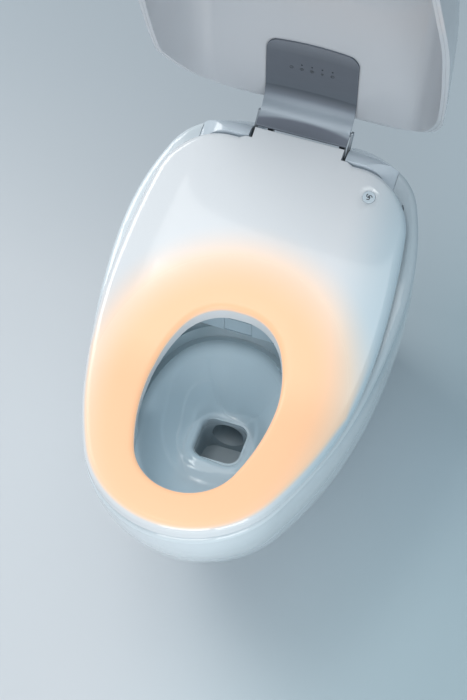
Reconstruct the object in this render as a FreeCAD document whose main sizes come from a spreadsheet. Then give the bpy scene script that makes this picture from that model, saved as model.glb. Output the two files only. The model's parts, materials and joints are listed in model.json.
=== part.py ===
import FreeCAD, Part
import math
import os
import re
from FreeCAD import Placement, Rotation, Vector

# Smart toilet with a heated seat: a tapered ceramic pedestal, a one-piece heated seat whose deck
# climbs to the hinge, and a deep lid carried by a curved metal plate.
# Frame: origin on the floor at the centre of the drain outlet, +X to the user's left hand when
# seated (right in a front view), -Y to the front of the bowl, +Z up. Millimetres.
# Rest pose: lid open (upright), seat down, wand drawn in.

doc = FreeCAD.newDocument("SmartToilet")
sheet = doc.addObject("Spreadsheet::Sheet", "Sizes")

SIZES = {
    # heights
    "ring_top": 430.0,            # top of the seat ring above the floor
    "deck_top": 535.0,            # top of the seat's deck at its rear end
    "deck_end": 190.0,            # where the deck ends, behind the origin
    "deck_knee": -171.0,          # where the flat ring and the sloping deck would meet
    "deck_bend": 250.0,           # radius that blends the ring into the deck
    "seat_depth": 25.0,           # seat thickness, top to underside
    "seat_gap": 4.0,              # air between the seat's underside and the ceramic rim
    # seat outline
    "seat_front": -408.0,
    "seat_nose": 150.0,
    "seat_half": 197.0,
    "seat_wide": -60.0,
    "seat_corner_x": 96.0,
    "seat_corner_y": 84.0,
    "seat_corner": 90.0,
    "seat_roll": 11.0,            # rounding of the seat's outer edge
    "lip_roll": 8.0,              # rounding of the opening's edge
    "seat_skin": 3.5,
    "tongue_half": 66.0,          # rear tongue of the deck, between the shoulders
    "tongue_depth": 8.0,
    # seat opening
    "open_front": -352.0,
    "open_nose": 75.0,
    "open_half": 91.0,
    "open_wide": -190.0,
    "open_corner_x": 6.0,
    "open_corner_y": -145.0,
    "open_corner": 74.0,
    # ceramic body
    "rim_front": -412.0,
    "rim_nose": 153.0,
    "rim_half": 212.0,
    "rim_wide": 20.0,
    "rim_corner_x": 85.0,
    "rim_corner": 125.0,
    "rim_rear": 190.0,            # rear of the body at the crest
    "rim_round": 9.0,
    "waist_z": 434.0,             # the body's taper starts below the waist
    "waist_rear": 268.0,
    "waist_corner_x": 60.0,
    "crest_z": 560.0,             # above the deck's highest point
    "back_y": 285.0,              # flat rear face
    "foot_front": -150.0,
    "foot_nose": 110.0,
    "foot_half": 135.0,
    "foot_wide": 60.0,
    "foot_corner_x": 60.0,
    "foot_corner": 70.0,
    "china": 13.0,                # wall of the hollow skirt
    "shelf_z": 392.0,             # ceramic shelf that carries the works
    "shelf_under": 372.0,
    "side_wall": 20.0,            # ceramic walls beside the works
    "works_front": -40.0,
    # bowl
    "well_grow": 16.0,            # upper well outside the seat opening
    "ledge_z": 368.0,
    "ledge_grow": 8.0,
    "bowl_floor": 250.0,
    "bowl_wall": 14.0,
    "sump_y": -156.0,
    "sump_x_size": 68.0,
    "sump_y_size": 67.0,
    "sump_round": 17.0,
    "sump_floor": 178.0,
    "trap_bore": 24.0,
    "trap_wall": 12.0,
    "weir_z": 228.0,
    "trap_end": 64.0,
    "trap_split": -62.0,          # the trapway's own piece starts here
    # outlet
    "spigot_r": 48.0,
    "outlet_r": 40.0,
    "outlet_depth": 30.0,
    # rear cover
    "cover_roll": 29.0,
    "cover_wall": 3.5,
    "cover_half": 146.0,          # half width of the cover, between the ceramic's rear corners
    "crown_r": 57.0,              # its shoulders fall to the ceramic over this radius
    "lobe_front": 152.0,          # the shoulders reach forward round the seat's corners to here
    "channel_half": 71.8,
    "channel_z": 470.0,
    "seam": 1.3,                  # gap between the seat and the cover's shoulders
    # hinge
    "hinge_y": 217.0,
    "hinge_z": 537.0,
    "pin_r": 3.0,
    "pin_half": 71.2,
    "running": 0.05,              # radial running clearance on the pin
    "hub_r": 5.0,
    "ear_in": 50.0,
    "ear_out": 58.0,
    "arm_in": 67.8,
    "arm_out": 70.8,
    # hinge plate
    "plate_half": 67.0,
    "plate_thick": 3.0,
    "plate_start_y": 194.0,
    "plate_start_z": 536.5,
    "plate_face": 236.0,          # front face of its upright part
    "plate_knee": 553.5,
    "plate_bend": 41.6,
    "plate_top": 668.0,
    "plate_corner": 14.0,
    "lamp_r": 1.3,
    "lamp_pitch": 14.9,
    "lamp_z": 632.0,
    # lid, given closed
    "lid_reach": 13.0,            # lid outside the seat's outline
    "lid_top": 568.0,
    "lid_wall": 5.0,
    "liner_wall": 4.3,
    "skin_gap": 0.2,
    "lid_roll_in": 62.0,          # the lid's shoulder: inward and in height
    "lid_roll_up": 115.0,
    "lid_corner_x": 100.0,
    "lid_corner": 100.0,
    "lid_rear": 212.0,
    "lid_drop": 20.0,             # lid edge below the deck surface
    "lid_lift_y": 80.0,           # from here the lid's edge climbs to its rear end
    "lid_edge": 4.0,
    # button
    "button_x": 120.0,
    "button_y": 132.0,
    "button_r": 9.0,
    "button_play": 0.3,
    "dish_r": 13.0,
    # bumpers
    "bumper_r": 7.0,
    "float": 0.3,                 # gap left where a moving piece rests on a fixed one
    # works
    "tray": 3.0,
    "tray_half": 142.0,
    "wand_x": -5.5,
    "wand_y": -62.0,
    "wand_z": 406.0,
    "wand_tilt": 20.0,
    "wand_r": 9.0,
    "wand_len": 138.0,
    "wand_play": 0.3,
    "nose_y": -64.0,
    "nose_thick": 4.0,
    "nose_half": 80.0,
    "nose_top": 432.0,
    "port_left": -26.0,
    "port_right": 15.0,
    "fan_x": 115.0,
    "fan_y": 0.0,
    "fan_r": 24.0,
    "fan_high": 26.0,
    # services
    "inlet_x": -44.0,
    "inlet_z": 150.0,
    "inlet_r": 10.48,
    "gland_x": 44.0,
    "gland_z": 200.0,
    "gland_r": 8.0,
    "bracket_x": 80.0,
    "bracket_y": 80.0,
    "floor_hole_r": 4.5,
}

for row, (alias, value) in enumerate(SIZES.items(), start=1):
    sheet.set("A%d" % row, alias)
    sheet.set("B%d" % row, str(value))
    sheet.setAlias("B%d" % row, alias)
doc.recompute()


def size(alias):
    """A driving size, read from the sheet."""
    return float(getattr(sheet, alias))


def bind(item, prop, text):
    """Bind a property to a formula whose words are sheet aliases."""
    formula = re.sub(r"[a-z_]{3,}", lambda m: "Sizes." + m.group(0) if m.group(0) in SIZES else m.group(0), text)
    item.setExpression(prop, formula)


PARTS = []


def keep(item, label):
    """Name a finished sub-part and list it for export."""
    item.Label = label
    PARTS.append(item)
    return item


def solid_part(label, shape, placement=None):
    """A sub-part whose freeform shape is worked out from the sheet's sizes."""
    item = doc.addObject("Part::Feature", label + "_shape")
    item.Shape = shape
    if placement is not None:
        item.Placement = placement
    return keep(item, label)


def box(name, x, y, z, lx, ly, lz):
    """A Part box: corner and lengths are formulas."""
    item = doc.addObject("Part::Box", name)
    for prop, text in (("Placement.Base.x", x), ("Placement.Base.y", y), ("Placement.Base.z", z),
                       ("Length", lx), ("Width", ly), ("Height", lz)):
        bind(item, prop, text)
    return item


def drum(name, x, y, z, radius, height, axis="z"):
    """A Part cylinder along z, or along x or y from its base point."""
    item = doc.addObject("Part::Cylinder", name)
    turn = {"z": Rotation(), "x": Rotation(Vector(0, 1, 0), 90), "y": Rotation(Vector(1, 0, 0), -90)}[axis]
    item.Placement = Placement(Vector(), turn)
    for prop, text in (("Placement.Base.x", x), ("Placement.Base.y", y), ("Placement.Base.z", z),
                       ("Radius", radius), ("Height", height)):
        bind(item, prop, text)
    return item


def cut(name, base, tool):
    item = doc.addObject("Part::Cut", name)
    item.Base = base
    item.Tool = tool
    return item


def fuse(name, items):
    item = doc.addObject("Part::MultiFuse", name)
    item.Shapes = items
    return item


def group(name, items):
    item = doc.addObject("Part::Compound", name)
    item.Links = items
    return item


# ---------------------------------------------------------------- outlines and profiles

def arc_between(centre, radius, start, end, z):
    """Arc from one direction (degrees) to another about a centre."""
    def point(angle):
        a = math.radians(angle)
        return Vector(centre[0] + radius * math.cos(a), centre[1] + radius * math.sin(a), z)
    return Part.Arc(point(start), point(0.5 * (start + end)), point(end)).toShape()


def egg(front, nose, half, wide, corner_x, corner_y, corner, z, grow=0.0):
    """Closed plan outline of tangent arcs: nose, flank, rear flank, rear corner and a straight rear."""
    reach = wide - front - nose
    flank = (half ** 2 + reach ** 2 - nose ** 2) / (2 * (half - nose))
    inset = half - corner_x
    run = corner_y - wide
    rear_flank = (inset ** 2 + run ** 2 - corner ** 2) / (2 * (inset - corner))
    nose_turn = math.degrees(math.atan2(-reach, flank - half))
    corner_turn = math.degrees(math.atan2(run, rear_flank - inset))
    arcs = [
        ((0.0, front + nose), nose + grow, -90.0, nose_turn),
        ((half - flank, wide), flank + grow, nose_turn, 0.0),
        ((half - rear_flank, wide), rear_flank + grow, 0.0, corner_turn),
        ((corner_x, corner_y), corner + grow, corner_turn, 90.0),
    ]
    right = [arc_between(c, r, a, b, z) for c, r, a, b in arcs]
    left = [arc_between((-c[0], c[1]), r, 180.0 - b, 180.0 - a, z) for c, r, a, b in reversed(arcs)]
    rear_y = corner_y + corner + grow
    rear = Part.makeLine(Vector(corner_x, rear_y, z), Vector(-corner_x, rear_y, z))
    return Part.Wire(right + [rear] + left)


def seat_outline(z, grow=0.0):
    return egg(size("seat_front"), size("seat_nose"), size("seat_half"), size("seat_wide"),
               size("seat_corner_x"), size("seat_corner_y"), size("seat_corner"), z, grow)


def opening_outline(z, grow=0.0):
    return egg(size("open_front"), size("open_nose"), size("open_half"), size("open_wide"),
               size("open_corner_x"), size("open_corner_y"), size("open_corner"), z, grow)


def lid_outline(z, grow, rear):
    """Lid plan, closed: the seat's outline with its own rear corners."""
    reach = size("lid_reach")
    return egg(size("seat_front") - reach, size("seat_nose") + reach, size("seat_half") + reach,
               size("seat_wide"), size("lid_corner_x"), rear - size("lid_corner"), size("lid_corner"), z, grow)


def body_outline(z, grow=0.0):
    """Plan of the body at a height: it tapers to the foot, and above the waist its rear leans forward."""
    rise = min(1.0, z / size("waist_z"))
    side = 1.0 - (1.0 - rise) ** 1.94
    lean = max(0.0, (z - size("waist_z")) / (size("crest_z") - size("waist_z")))

    def between(low, high, share):
        return size(low) + (size(high) - size(low)) * share
    front = between("foot_front", "rim_front", 1.0 - (1.0 - rise) ** 1.81)
    nose = between("foot_nose", "rim_nose", 1.0 - (1.0 - rise) ** 1.23)
    corner = between("foot_corner", "rim_corner", side)
    if lean > 0.0:
        rear = between("waist_rear", "rim_rear", lean)
        corner_x = between("waist_corner_x", "rim_corner_x", lean)
    else:
        rear = between("back_y", "waist_rear", rise ** 8)
        corner_x = between("foot_corner_x", "waist_corner_x", side)
    return egg(front, nose, between("foot_half", "rim_half", side), between("foot_wide", "rim_wide", side),
               corner_x, rear - corner, corner, z, grow)


def rounded(points, radii, closed=True):
    """Wire through (y, z) points in the plane x = 0, its corners rounded by tangent arcs."""
    spots = [Vector(0, y, z) for y, z in points]
    count = len(spots)
    edges = []
    starts = []
    ends = []
    arcs = []
    for i, spot in enumerate(spots):
        radius = radii[i]
        if radius == 0 or (not closed and i in (0, count - 1)):
            starts.append(spot)
            ends.append(spot)
            arcs.append(None)
            continue
        before = (spots[i - 1] - spot).normalize()
        after = (spots[(i + 1) % count] - spot).normalize()
        half_angle = before.getAngle(after) / 2
        tangent = radius / math.tan(half_angle)
        bisector = (before + after).normalize()
        centre = spot + bisector * (radius / math.sin(half_angle))
        first = spot + before * tangent
        last = spot + after * tangent
        arcs.append(Part.Arc(first, centre - bisector * radius, last).toShape())
        starts.append(first)
        ends.append(last)
    for i in range(count):
        if arcs[i] is not None:
            edges.append(arcs[i])
        following = (i + 1) % count
        if following == 0 and not closed:
            break
        if (ends[i] - starts[following]).Length > 1e-6:
            edges.append(Part.makeLine(ends[i], starts[following]))
    return Part.Wire(edges)


def slab(points, radii, x_low, x_high):
    """A closed (y, z) profile extruded along X."""
    face = Part.Face(rounded(points, radii))
    face.translate(Vector(x_low, 0, 0))
    return face.extrude(Vector(x_high - x_low, 0, 0))


def deck_z(y):
    """Height of the sloping part of the deck above the floor."""
    slope = (size("deck_top") - size("ring_top")) / (size("deck_end") - size("deck_knee"))
    return size("ring_top") + slope * (y - size("deck_knee"))


FAR = 700.0      # beyond the object on every side
REAR = 340.0     # beyond the object's rear


def under_deck(drop):
    """All space below the deck surface moved down by drop."""
    points = [(-FAR, size("ring_top") - drop), (size("deck_knee"), size("ring_top") - drop),
              (REAR, deck_z(REAR) - drop), (REAR, -FAR), (-FAR, -FAR)]
    return slab(points, [0, size("deck_bend"), 0, 0, 0], -FAR, FAR)


def prism(wire, height):
    return Part.Face(wire).extrude(Vector(0, 0, height))


def block(x_low, x_high, y_low, y_high, z_low, z_high):
    return Part.makeBox(x_high - x_low, y_high - y_low, z_high - z_low, Vector(x_low, y_low, z_low))


def mirror_x(shape):
    return shape.mirror(Vector(), Vector(1, 0, 0))


def cylinder(radius, start, axis, length):
    return Part.makeCylinder(radius, length, start, axis)


def rim_edges(shape, top_z, low_y=-FAR, high_y=FAR):
    """Edges that bound a top surface, without the seams that cross it along X."""
    found = []
    for edge in shape.Edges:
        mid = edge.valueAt(0.5 * (edge.FirstParameter + edge.LastParameter))
        if abs(mid.z - top_z(mid.y)) > 0.02 or not low_y < mid.y < high_y:
            continue
        ends = [v.Point for v in edge.Vertexes]
        crossing = len(ends) == 2 and abs(ends[0].y - ends[1].y) < 1e-6 and abs(ends[0].z - ends[1].z) < 1e-6
        if crossing and abs(ends[0].x + ends[1].x) < 1e-6 and mid.y < 0.5 * size("seat_corner_y"):
            continue
        found.append(edge)
    return found


def deck_surface(drop):
    """Height of the deck surface, bend included, as a function of y."""
    slope = (size("deck_top") - size("ring_top")) / (size("deck_end") - size("deck_knee"))
    angle = math.atan(slope)
    tangent = size("deck_bend") * math.tan(angle / 2)
    first = size("deck_knee") - tangent
    last = size("deck_knee") + tangent * math.cos(angle)

    def height(y):
        if y <= first:
            return size("ring_top") - drop
        if y >= last:
            return deck_z(y) - drop
        return size("ring_top") - drop + size("deck_bend") - math.sqrt(size("deck_bend") ** 2 - (y - first) ** 2)
    return height


# ---------------------------------------------------------------- ceramic

def body_block(grow, drop, roll):
    """The whole body up to a copy of the deck surface, its top edge rounded."""
    waist = size("waist_z")
    heights = [waist * part for part in (0.0, 0.1, 0.22, 0.36, 0.52, 0.7, 0.86, 1.0)]
    heights += [waist + (size("crest_z") - waist) * part for part in (0.5, 1.0)]
    body = Part.makeLoft([body_outline(z, grow) for z in heights], True, False).common(under_deck(drop))
    if roll > 0:
        body = body.makeFillet(roll, rim_edges(body, deck_surface(drop)))
    return body


def bowl_sections(grow, lower):
    """The bowl's inside, from the ledge down to its floor."""
    wires = [opening_outline(size("ledge_z") - lower, size("ledge_grow") + grow),
             opening_outline(size("ledge_z") - 33.0 - lower, 1.0 + grow)]
    depth = size("ledge_z") - size("bowl_floor")
    for part, front, nose, half, wide, corner_y, corner in (
            (0.42, 27.0, 66.0, 80.0, -190.0, -150.0, 62.0),
            (0.17, 67.0, 55.0, 64.0, -180.0, -152.0, 50.0),
            (0.0, 117.0, 42.0, 48.0, -165.0, -150.0, 38.0)):
        z = size("bowl_floor") + depth * part - lower
        wires.append(egg(size("open_front") + front, nose, half, wide, 4.0, corner_y, corner, z, grow))
    return wires


def sump(grow, low, high):
    """Rounded square well at the bottom of the bowl."""
    half_x = size("sump_x_size") / 2 + grow
    half_y = size("sump_y_size") / 2 + grow
    well = block(-half_x, half_x, size("sump_y") - half_y, size("sump_y") + half_y, low, high)
    upright = [e for e in well.Edges if abs(e.tangentAt(e.FirstParameter).z) > 0.99]
    return well.makeFillet(size("sump_round") + grow, upright)


def trapway(radius):
    """Passage from the sump over the weir and down to the outlet."""
    path = rounded([(size("sump_y") + 12.0, size("sump_floor") + 27.0), (-92.0, size("weir_z")), (-28.0, size("weir_z")),
                    (0.0, 180.0), (0.0, size("trap_end"))], [0, 40.0, 40.0, 40.0, 0], closed=False)
    start = path.Edges[0]
    profile = Part.Wire(Part.makeCircle(radius, start.valueAt(start.FirstParameter), start.tangentAt(start.FirstParameter)))
    return path.makePipeShell([profile], True, True)


def make_ceramic():
    """The casting in three pieces that meet face to face: skirt with rim, bowl, and trapway."""
    body = body_block(0.0, size("seat_depth") + size("seat_gap"), size("rim_round"))
    # the hollow skirt, around the bowl, the sump and the trapway
    bowl_mass = Part.makeLoft(bowl_sections(size("bowl_wall"), 8.0), True, False)
    collar = prism(opening_outline(size("ledge_z") - size("bowl_wall"), size("well_grow") + size("bowl_wall")), FAR)
    sump_mass = sump(size("bowl_wall"), size("sump_floor") - size("bowl_wall"), size("bowl_floor") + 6.0)
    trap_mass = trapway(size("trap_bore") + size("trap_wall"))
    hollow = body_block(-size("china"), 0.0, 0.0).common(block(-FAR, FAR, -FAR, FAR, -1.0, size("shelf_under")))
    hollow = hollow.fuse(prism(body_outline(0.0, -size("china")), -1.0))
    masses = (bowl_mass, collar, sump_mass, trap_mass)
    for mass in masses:
        hollow = hollow.cut(mass)
    body = body.cut(hollow)
    # the works sit on a shelf between two side walls, open to the rear
    works = body_block(-size("side_wall"), -20.0, 0.0)
    shelf = size("shelf_z")
    mouth_y = size("lobe_front")
    mouth = size("cover_half") + size("float")
    body = body.cut(works.common(block(-FAR, FAR, size("works_front"), mouth_y, shelf, FAR)))
    body = body.cut(block(-mouth, mouth, mouth_y - 1.0, FAR, shelf, FAR))
    nose_way = size("nose_half") + 5.0
    body = body.cut(block(-nose_way, nose_way, size("nose_y") - 30.0, size("works_front") + 1.0, shelf, FAR))
    # the bowl
    well = prism(opening_outline(size("ledge_z"), size("well_grow")), FAR)
    body = body.cut(well)
    body = body.cut(Part.makeLoft(bowl_sections(0.0, 0.0), True, False))
    body = body.cut(sump(0.0, size("sump_floor"), size("bowl_floor") + 5.0))
    body = body.cut(trapway(size("trap_bore")))
    # service holes in the rear wall and the shelf
    back = Vector(0, 1, 0)
    for x, z, radius in (("inlet_x", "inlet_z", size("inlet_r") + 3.0), ("gland_x", "gland_z", size("gland_r") + size("float"))):
        start = Vector(size(x), size("back_y") - 40.0, size(z))
        body = body.cut(cylinder(radius, start, back, 60.0))
    core = masses[0].fuse(list(masses[1:]))
    middle = body.common(core)
    half = size("spigot_r") + 10.0
    behind = block(-half, half, size("trap_split"), half, 0.0, size("weir_z") + half)
    return body.cut(core), middle.cut(behind), middle.common(behind)


for label, piece in zip(("ceramic_skirt", "ceramic_bowl", "ceramic_trap"), make_ceramic()):
    solid_part(label, piece)

# ---------------------------------------------------------------- outlet

spigot = drum("spigot_outer", "0", "0", "0", "spigot_r", "trap_end - float")
spigot_bore = drum("spigot_bore", "0", "0", "0", "outlet_r", "outlet_depth")
spigot_throat = drum("spigot_throat", "0", "0", "outlet_depth", "trap_bore + 1", "trap_end")
seal_seat = drum("seal_seat", "0", "0", "trap_end - 6", "trap_bore + 12", "8")
outlet = cut("outlet_turned", spigot, fuse("outlet_voids", [spigot_bore, spigot_throat, seal_seat]))
keep(outlet, "outlet_connector")
seal_ring = drum("seal_outer", "0", "0", "trap_end - 6 + 0.05", "trap_bore + 11.9", "5.9")
seal_hole = drum("seal_inner", "0", "0", "trap_end - 10", "trap_bore + 2", "20")
keep(cut("seal_turned", seal_ring, seal_hole), "outlet_seal")

# ---------------------------------------------------------------- seat

def seat_block(grow, drop, bottom, outer_roll, inner_roll):
    """Ring and deck: outline between two copies of the deck surface, edges rounded."""
    body = prism(seat_outline(0.0, grow), FAR).cut(prism(opening_outline(0.0, -grow), FAR))
    body = body.common(under_deck(drop)).cut(under_deck(bottom))
    top = deck_surface(drop)
    inner = []
    outer = []
    for edge in rim_edges(body, top):
        mid = edge.valueAt(0.5 * (edge.FirstParameter + edge.LastParameter))
        wall = Part.Vertex(Vector(mid.x, mid.y, 0)).distToShape(opening_outline(0.0, -grow))[0]
        (inner if wall < 0.5 else outer).append(edge)
    body = body.makeFillet(outer_roll, outer)
    inner_edges = []
    for edge in rim_edges(body, top):
        mid = edge.valueAt(0.5 * (edge.FirstParameter + edge.LastParameter))
        if Part.Vertex(Vector(mid.x, mid.y, 0)).distToShape(opening_outline(0.0, -grow))[0] < 0.5:
            inner_edges.append(edge)
    return body.makeFillet(inner_roll, inner_edges)


deck_angle = math.degrees(math.atan((size("deck_top") - size("ring_top")) / (size("deck_end") - size("deck_knee"))))
button_frame = Placement(Vector(size("button_x"), size("button_y"), deck_z(size("button_y"))),
                         Rotation(Vector(1, 0, 0), deck_angle))


def on_button(shape):
    """Place a shape made about the button's own axis."""
    shape.Placement = button_frame
    return shape


def make_seat_upper():
    skin = size("seat_skin")
    depth = size("seat_depth")
    body = seat_block(0.0, 0.0, depth, size("seat_roll"), size("lip_roll"))
    inside = seat_block(-skin, skin, depth + 5.0, size("seat_roll") - skin, size("lip_roll") - skin)
    body = body.cut(inside)
    tongue = block(-size("tongue_half"), size("tongue_half"), size("seat_corner_y") + 40.0, size("deck_end"), 0, FAR)
    tongue = tongue.common(under_deck(0.0)).cut(under_deck(size("tongue_depth")))
    body = body.fuse(tongue)
    dish = Part.makeCone(size("button_r") + size("button_play"), size("dish_r"), 1.2, Vector(0, 0, -1.2))
    hole = cylinder(size("button_r") + size("button_play"), Vector(0, 0, -15), Vector(0, 0, 1), 15.0)
    return body.cut(on_button(dish)).cut(on_button(hole)).removeSplitter()


def make_seat_lower():
    skin = size("seat_skin") + size("skin_gap")
    depth = size("seat_depth")
    plate = prism(seat_outline(0.0, -skin), FAR).cut(prism(opening_outline(0.0, skin), FAR))
    return plate.common(under_deck(depth - 3.0)).cut(under_deck(depth))


def make_heater():
    inset = 20.0
    foil = prism(seat_outline(0.0, -inset), FAR).cut(prism(opening_outline(0.0, inset), FAR))
    foil = foil.common(under_deck(size("seat_skin") + 0.2)).cut(under_deck(size("seat_skin") + 0.8))
    return foil.cut(block(-FAR, FAR, 0.0, FAR, 0.0, FAR))


def make_button_cup():
    skin = size("seat_skin") + 0.1
    cup = cylinder(size("dish_r"), Vector(0, 0, -skin - 9.0), Vector(0, 0, 1), 9.0)
    bore = cylinder(size("button_r") + size("button_play"), Vector(0, 0, -skin - 7.0), Vector(0, 0, 1), 8.0)
    return on_button(cup.cut(bore))


def make_button():
    cap = cylinder(size("button_r"), Vector(0, 0, -7.0), Vector(0, 0, 1), 6.2)
    return on_button(cap.makeFillet(0.6, [e for e in cap.Edges if abs(e.CenterOfMass.z + 0.8) < 0.01]))


def hub(x_low, x_high, radius):
    return cylinder(radius, Vector(x_low, size("hinge_y"), size("hinge_z")), Vector(1, 0, 0), x_high - x_low)


def bored(shape, x_low, x_high):
    """Bore a hinge hub for the pin, with its running clearance."""
    return shape.cut(hub(x_low - 1, x_high + 1, size("pin_r") + size("running")))


def make_seat_arm():
    """Arm from the seat's underside, up through the slot beside the hinge plate, to the pin."""
    low, high = size("arm_in"), size("arm_out")
    depth = size("seat_depth")
    y, z = size("hinge_y"), size("hinge_z")
    foot_y, heel_y = 128.0, size("seat_corner_y") + size("seat_corner") + size("float")
    points = [(foot_y, deck_z(foot_y) - depth), (heel_y, deck_z(heel_y) - depth), (y - 4.0, z + 3.0),
              (y + 4.0, z - 3.0), (heel_y + 8.0, deck_z(heel_y) - depth - 9.0), (foot_y, deck_z(foot_y) - depth - 6.0)]
    arm = slab(points, [0, 0, 0, 0, 12.0, 0], low, high).fuse(hub(low, high, size("hub_r")))
    return bored(arm, low, high)


solid_part("seat_upper_shell", make_seat_upper())
solid_part("seat_lower_shell", make_seat_lower())
solid_part("seat_heater", make_heater())
solid_part("flush_button_cup", make_button_cup())
solid_part("flush_button", make_button())
seat_arm = make_seat_arm()
solid_part("seat_arm_right", seat_arm)
solid_part("seat_arm_left", mirror_x(seat_arm))

bumpers = []
for name, x, y in (("fr", "80", "-345"), ("fl", "-80", "-345"), ("mr", "150", "-225"), ("ml", "-150", "-225")):
    low = "ring_top - seat_depth - seat_gap + float"
    bumpers.append(drum("bumper_" + name, x, y, low, "bumper_r", "seat_gap - float"))
keep(group("bumper_set", bumpers), "seat_bumpers")

# ---------------------------------------------------------------- hinge on the body

def make_hinge_bracket():
    """Two ears on one foot, rising behind the hinge pin."""
    y, z = size("hinge_y"), size("hinge_z")
    foot_z = size("shelf_z") + size("float") + size("tray")
    ears = []
    for low, high in ((size("ear_in"), size("ear_out")), (-size("ear_out"), -size("ear_in"))):
        web = block(low, high, y + 4.5, y + 13.0, foot_z, z + 3.0)
        neck = block(low, high, y, y + 6.0, z - 3.0, z + 3.0)
        ears.append(bored(web.fuse(neck).fuse(hub(low, high, size("hub_r"))), low, high))
    foot = block(-size("ear_out"), size("ear_out"), y - 12.0, y + 13.0, foot_z, foot_z + 4.0)
    return foot.fuse(ears[0]).fuse(ears[1]).removeSplitter()


solid_part("hinge_bracket", make_hinge_bracket())
keep(drum("hinge_rod", "-pin_half", "hinge_y", "hinge_z", "pin_r", "2 * pin_half", "x"), "hinge_pin")

# ---------------------------------------------------------------- rear cover

def crown(grow):
    """Long loaf that follows the deck; its round sides bring the cover's ends down to the ceramic."""
    radius = size("crown_r")
    fall = size("seat_depth") + size("seat_gap")
    half = size("cover_half") + radius - math.sqrt(radius ** 2 - (radius - fall) ** 2)
    loaf = block(-half - grow, half + grow, -FAR, FAR, -FAR, grow)
    ridges = [e for e in loaf.Edges if abs(e.tangentAt(e.FirstParameter).y) > 0.99 and e.CenterOfMass.z > grow - 1.0]
    loaf = loaf.makeFillet(radius + grow, ridges)
    loaf.rotate(Vector(), Vector(1, 0, 0), deck_angle)
    loaf.translate(Vector(0, size("deck_end"), size("deck_top")))
    return loaf


def make_rear_cover():
    """Shoulders beside the hinge plate and the sloping back, one hollow moulding."""
    wall = size("cover_wall")
    shelf = size("shelf_z") + size("float")

    def region(grow, low):
        half = size("cover_half") + grow
        body = body_block(grow, -grow, size("cover_roll") + grow).common(crown(grow))
        body = body.common(block(-half, half, size("lobe_front"), FAR, low, FAR))
        return body.cut(prism(seat_outline(0.0, size("seam") - grow), FAR))
    half = size("channel_half")
    outside = region(0.0, shelf)
    outside = outside.cut(block(-half, half, 0.0, FAR, size("channel_z"), FAR))
    inside = region(-wall, shelf - 1.0)
    keep_half = half + wall
    inside = inside.cut(block(-keep_half, keep_half, 0.0, FAR, size("channel_z") - wall, FAR))
    cover = outside.cut(inside)
    under_seat = size("cover_half") - wall
    cover = cover.cut(block(-under_seat, under_seat, 0.0, size("deck_end") - 8.0, shelf - 1.0, size("channel_z")))
    for low, high in ((size("ear_in"), size("ear_out")), (-size("ear_out"), -size("ear_in"))):
        slot = block(low - 0.5, high + 0.5, size("hinge_y") + 4.0, size("hinge_y") + 13.5, size("shelf_z"), FAR)
        cover = cover.cut(slot)
    return cover.removeSplitter()


solid_part("rear_cover", make_rear_cover())

# ---------------------------------------------------------------- hinge plate (open pose)

def make_hinge_plate():
    """Wide metal plate: from the deck's rear edge back over the pin, then up behind the lid's liner."""
    thick = size("plate_thick")
    slope = math.atan2(size("plate_knee") - size("plate_start_z"), size("plate_face") - size("plate_start_y"))
    low_y = size("plate_start_y") + thick * math.sin(slope)
    low_z = size("plate_start_z") - thick * math.cos(slope)
    face, back = size("plate_face"), size("plate_face") + thick
    knee_back = low_z + (back - low_y) * math.tan(slope)
    points = [(size("plate_start_y"), size("plate_start_z")), (face, size("plate_knee")), (face, size("plate_top")),
              (back, size("plate_top")), (back, knee_back), (low_y, low_z)]
    half = size("plate_half")
    body = slab(points, [0, size("plate_bend"), 0, 0, size("plate_bend") + thick, 0], -half, half)
    top = [e for e in body.Edges if e.Length < thick + 0.1 and e.CenterOfMass.z > size("plate_top") - 0.1]
    body = body.makeFillet(size("plate_corner"), top)
    for i in (-1, 0, 1, 2):
        start = Vector(i * size("lamp_pitch"), face - 1.0, size("lamp_z"))
        body = body.cut(cylinder(size("lamp_r"), start, Vector(0, 1, 0), thick + 2.0))
    return body


solid_part("hinge_plate", make_hinge_plate())
lamps = []
for count, place in enumerate(("-1", "0", "1", "2")):
    lamps.append(drum("lamp_%d" % count, place + " * lamp_pitch", "plate_face - 0.2", "lamp_z",
                      "lamp_r - 0.05", "plate_thick + 0.1", "y"))
keep(group("lamp_set", lamps), "indicator_lamps")


def make_barrel():
    """Barrel round the pin with a saddle under the plate's bend."""
    half = size("ear_in") - 1.0
    y, z = size("hinge_y"), size("hinge_z")
    radius = size("plate_bend")
    slope = math.atan2(size("plate_knee") - size("plate_start_z"), size("plate_face") - size("plate_start_y"))
    bend_y = size("plate_face") - radius
    bend_z = size("plate_knee") - radius * (math.tan(slope) - 1.0 / math.cos(slope))
    bend = cylinder(radius + size("plate_thick") + 0.2, Vector(-FAR, bend_y, bend_z), Vector(1, 0, 0), 2 * FAR)
    first_y = bend_y + (radius + size("plate_thick")) * math.sin(slope) + 0.5
    saddle = block(4.0 - half, half - 4.0, first_y, y + 4.5, z, z + 20.0).cut(bend)
    saddle = saddle.common(block(-FAR, FAR, -FAR, FAR, 0.0, bend_z - 30.0))
    return bored(saddle.fuse(hub(-half, half, size("hub_r"))), -half, half)


solid_part("hinge_barrel", make_barrel())

# ---------------------------------------------------------------- lid, made closed and then opened

opened = Placement(Vector(), Rotation(Vector(1, 0, 0), -90.0), Vector(0, size("hinge_y"), size("hinge_z")))


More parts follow.
